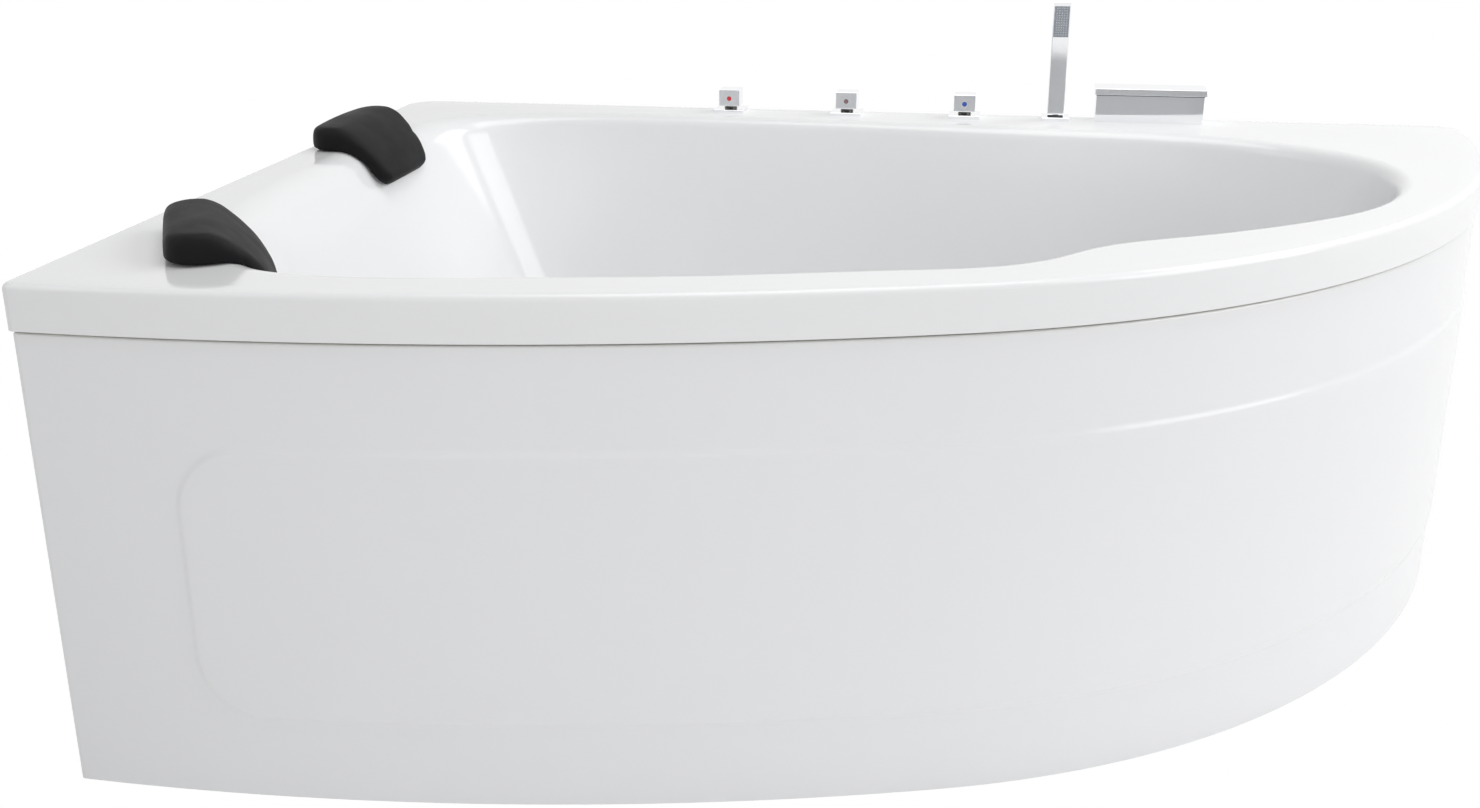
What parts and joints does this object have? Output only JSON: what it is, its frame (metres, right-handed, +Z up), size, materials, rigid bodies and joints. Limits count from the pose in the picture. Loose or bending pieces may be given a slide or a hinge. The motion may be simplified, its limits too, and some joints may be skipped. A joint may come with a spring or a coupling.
{
  "type": "corner bathtub",
  "caption": "Asymmetric corner bathtub for two with a bowed front panel, raised panel field, steel frame, deck taps, hand shower, spout and two saddle headrests.",
  "frame": {"origin": "on the floor, under the middle of the bounding box", "axes": "+X runs along the back wall from the headrest end to the foot end, +Y points to the back wall, +Z is up"},
  "size_m": [1.7, 1.2, 0.785],
  "materials": {
    "acrylic": "gloss white acrylic",
    "panel_acrylic": "gloss white acrylic",
    "chipboard": "raw board",
    "frame_steel": "powder coated, satin",
    "zinc": "zinc plated",
    "black_plastic": "matte",
    "white_plastic": "matte",
    "chrome": "polished",
    "brass": "machined",
    "copper": "drawn tube",
    "seal_rubber": "matte",
    "marker_red": "gloss",
    "marker_grey": "gloss",
    "marker_blue": "gloss",
    "spray_plastic": "satin",
    "headrest_foam": "satin skin"
  },
  "bodies": {
    "tub": {"tub_shell": "acrylic", "apron_panel": "panel_acrylic", "base_board": "chipboard", "support_frame": "frame_steel", "post_caps": "black_plastic", "board_screws": "zinc", "foot_pads": "black_plastic", "foot_rods": "zinc", "foot_nuts": "zinc", "apron_brackets": "frame_steel", "bracket_screws": "zinc", "clamp_nuts": "brass", "hot_feed_pipe": "copper", "cold_feed_pipe": "copper", "shower_pipe": "copper", "spout_pipe": "copper", "hose_outlet": "brass", "shower_holder": "chrome", "holder_ring": "seal_rubber", "spout_body": "chrome", "spout_cover": "chrome", "drain_flange": "chrome", "drain_seal": "seal_rubber", "drain_body": "white_plastic", "trap_body": "white_plastic", "waste_pipe": "white_plastic", "overflow_cover": "chrome", "overflow_gasket": "seal_rubber", "overflow_body": "white_plastic", "overflow_pipe": "white_plastic", "escutcheon_hot": "chrome", "valve_hot": "brass", "escutcheon_diverter": "chrome", "valve_diverter": "brass", "escutcheon_cold": "chrome", "valve_cold": "brass"},
    "hot_knob": {"knob_hot": "chrome", "marker_hot": "marker_red", "spindle_hot": "brass"},
    "diverter_knob": {"knob_diverter": "chrome", "marker_diverter": "marker_grey", "spindle_diverter": "brass"},
    "cold_knob": {"knob_cold": "chrome", "marker_cold": "marker_blue", "spindle_cold": "brass"},
    "hand_shower": {"handset_body": "chrome", "spray_face": "spray_plastic"},
    "drain_stopper": {"drain_plug": "chrome", "plug_seal": "seal_rubber"},
    "front_headrest": {"headrest_front": "headrest_foam", "headrest_front_studs": "black_plastic"},
    "back_headrest": {"headrest_back": "headrest_foam", "headrest_back_studs": "black_plastic"}
  },
  "joints": [
    {"name": "hot_knob_turn", "type": "hinge", "parent": "tub", "child": "hot_knob", "pos_m": [-0.282, 0.565, 0.62], "axis": [0, 0, 1], "range_deg": [0, 90]},
    {"name": "diverter_knob_turn", "type": "hinge", "parent": "tub", "child": "diverter_knob", "pos_m": [-0.089, 0.565, 0.62], "axis": [0, 0, 1], "range_deg": [0, 90]},
    {"name": "cold_knob_turn", "type": "hinge", "parent": "tub", "child": "cold_knob", "pos_m": [0.101, 0.565, 0.62], "axis": [0, 0, 1], "range_deg": [0, 90]},
    {"name": "hand_shower_lift", "type": "slide", "parent": "tub", "child": "hand_shower", "axis": [0, 0, 1], "range_m": [0, 0.12]},
    {"name": "drain_stopper_lift", "type": "slide", "parent": "tub", "child": "drain_stopper", "axis": [0, 0, 1], "range_m": [0, 0.008]},
    {"name": "front_headrest_lift", "type": "slide", "parent": "tub", "child": "front_headrest", "axis": [0, 0, 1], "range_m": [0, 0.08]},
    {"name": "back_headrest_lift", "type": "slide", "parent": "tub", "child": "back_headrest", "axis": [0, 0, 1], "range_m": [0, 0.08]}
  ]
}
